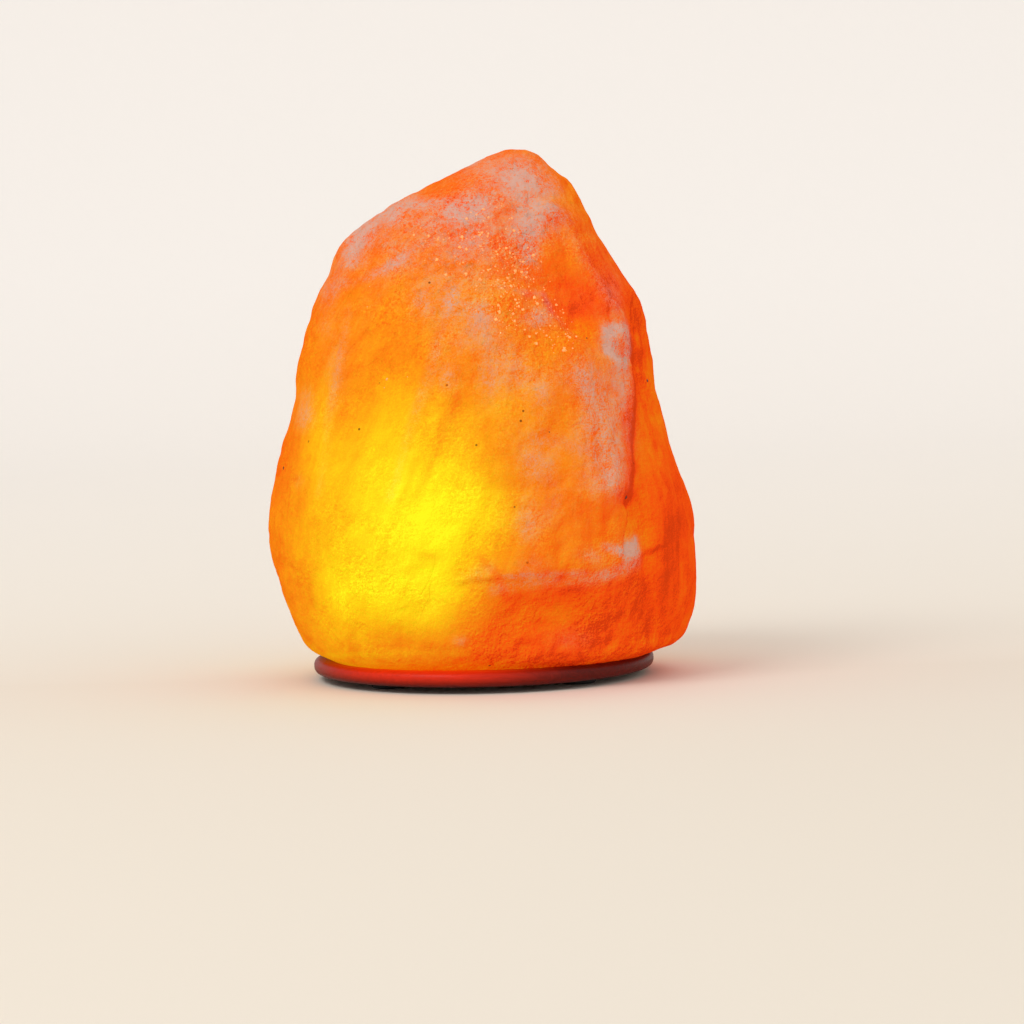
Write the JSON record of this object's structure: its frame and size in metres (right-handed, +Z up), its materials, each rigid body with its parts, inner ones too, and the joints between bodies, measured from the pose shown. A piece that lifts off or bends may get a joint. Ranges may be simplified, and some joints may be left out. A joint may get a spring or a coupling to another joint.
{
  "type": "salt crystal lamp",
  "caption": "Rough rock of pink salt on a round wooden disc, with a small screw bulb inside it in a clip-in lampholder",
  "frame": {"origin": "on the table, under the middle of the wooden disc", "axes": "+Z up, -Y to the front, +X to the right as seen from the front; the drilled hole, the lampholder and the bulb are on the Z axis"},
  "size_m": [0.1704, 0.1516, 0.2085],
  "materials": {
    "salt_crystal": "rough translucent pink rock salt, lit from inside",
    "wooden_base": "dark reddish brown varnish",
    "base_screws": "zinc plated",
    "rubber_feet": "matte black",
    "holder_cap": "smooth off-white",
    "holder_skirt": "smooth off-white",
    "lock_ring": "smooth off-white",
    "holder_core": "unglazed",
    "screw_shell": "bright sheet",
    "shell_screws": "plated",
    "live_terminal": "machined",
    "neutral_terminal": "machined",
    "terminal_screws": "plated",
    "contact_spring": "spring wire",
    "centre_contact": "machined",
    "clip_collar": "pressed sheet",
    "clip_pins": "turned",
    "clip_spring_left": "spring wire",
    "clip_spring_right": "spring wire",
    "clip_left": "spring sheet",
    "clip_right": "spring sheet",
    "bulb_cap": "rolled",
    "tip_contact": "tinned",
    "cap_insulator": "black glass",
    "bulb_glass": "clear",
    "bulb_stem": "clear",
    "lead_wires": "nickel wire",
    "filament": "glowing coil wire"
  },
  "bodies": {
    "lamp_body": {"salt_crystal": "salt_crystal", "wooden_base": "wooden_base", "base_screws": "base_screws", "rubber_feet": "rubber_feet"},
    "holder": {"holder_cap": "holder_cap", "holder_skirt": "holder_skirt", "holder_core": "holder_core", "screw_shell": "screw_shell", "shell_screws": "shell_screws", "live_terminal": "live_terminal", "neutral_terminal": "neutral_terminal", "terminal_screws": "terminal_screws", "contact_spring": "contact_spring", "lock_ring": "lock_ring", "clip_collar": "clip_collar", "clip_pins": "clip_pins", "clip_spring_left": "clip_spring_left", "clip_spring_right": "clip_spring_right"},
    "clip_left": {"clip_left": "clip_left"},
    "clip_right": {"clip_right": "clip_right"},
    "contact": {"centre_contact": "centre_contact"},
    "bulb": {"bulb_cap": "bulb_cap", "cap_insulator": "cap_insulator", "tip_contact": "tip_contact", "bulb_glass": "bulb_glass", "bulb_stem": "bulb_stem", "lead_wires": "lead_wires", "filament": "filament"}
  },
  "joints": [
    {"name": "holder_slide", "type": "slide", "parent": "lamp_body", "child": "holder", "axis": [0, 0, 1], "range_m": [-0.11, 0]},
    {"name": "clip_left_squeeze", "type": "hinge", "parent": "holder", "child": "clip_left", "pos_m": [-0.0172, 0, 0.0362], "axis": [0, 1, 0], "range_deg": [0, 10], "stiffness_Nm_per_rad": 0.03, "springref_deg": -20.05},
    {"name": "clip_right_squeeze", "type": "hinge", "parent": "holder", "child": "clip_right", "pos_m": [0.0172, 0, 0.0362], "axis": [0, -1, 0], "range_deg": [0, 10], "stiffness_Nm_per_rad": 0.03, "springref_deg": -20.05},
    {"name": "contact_rise", "type": "slide", "parent": "holder", "child": "contact", "axis": [0, 0, 1], "range_m": [0, 0.00282], "deforming": ["contact_spring"]},
    {"name": "bulb_turn", "type": "hinge", "parent": "contact", "child": "bulb", "pos_m": [0, 0, 0.0365], "axis": [0, 0, 1], "range_deg": [0, 360]}
  ],
  "couplings": [
    {"joint": "bulb_turn", "follows": "contact_rise", "rad_per_m": 2228.1}
  ]
}
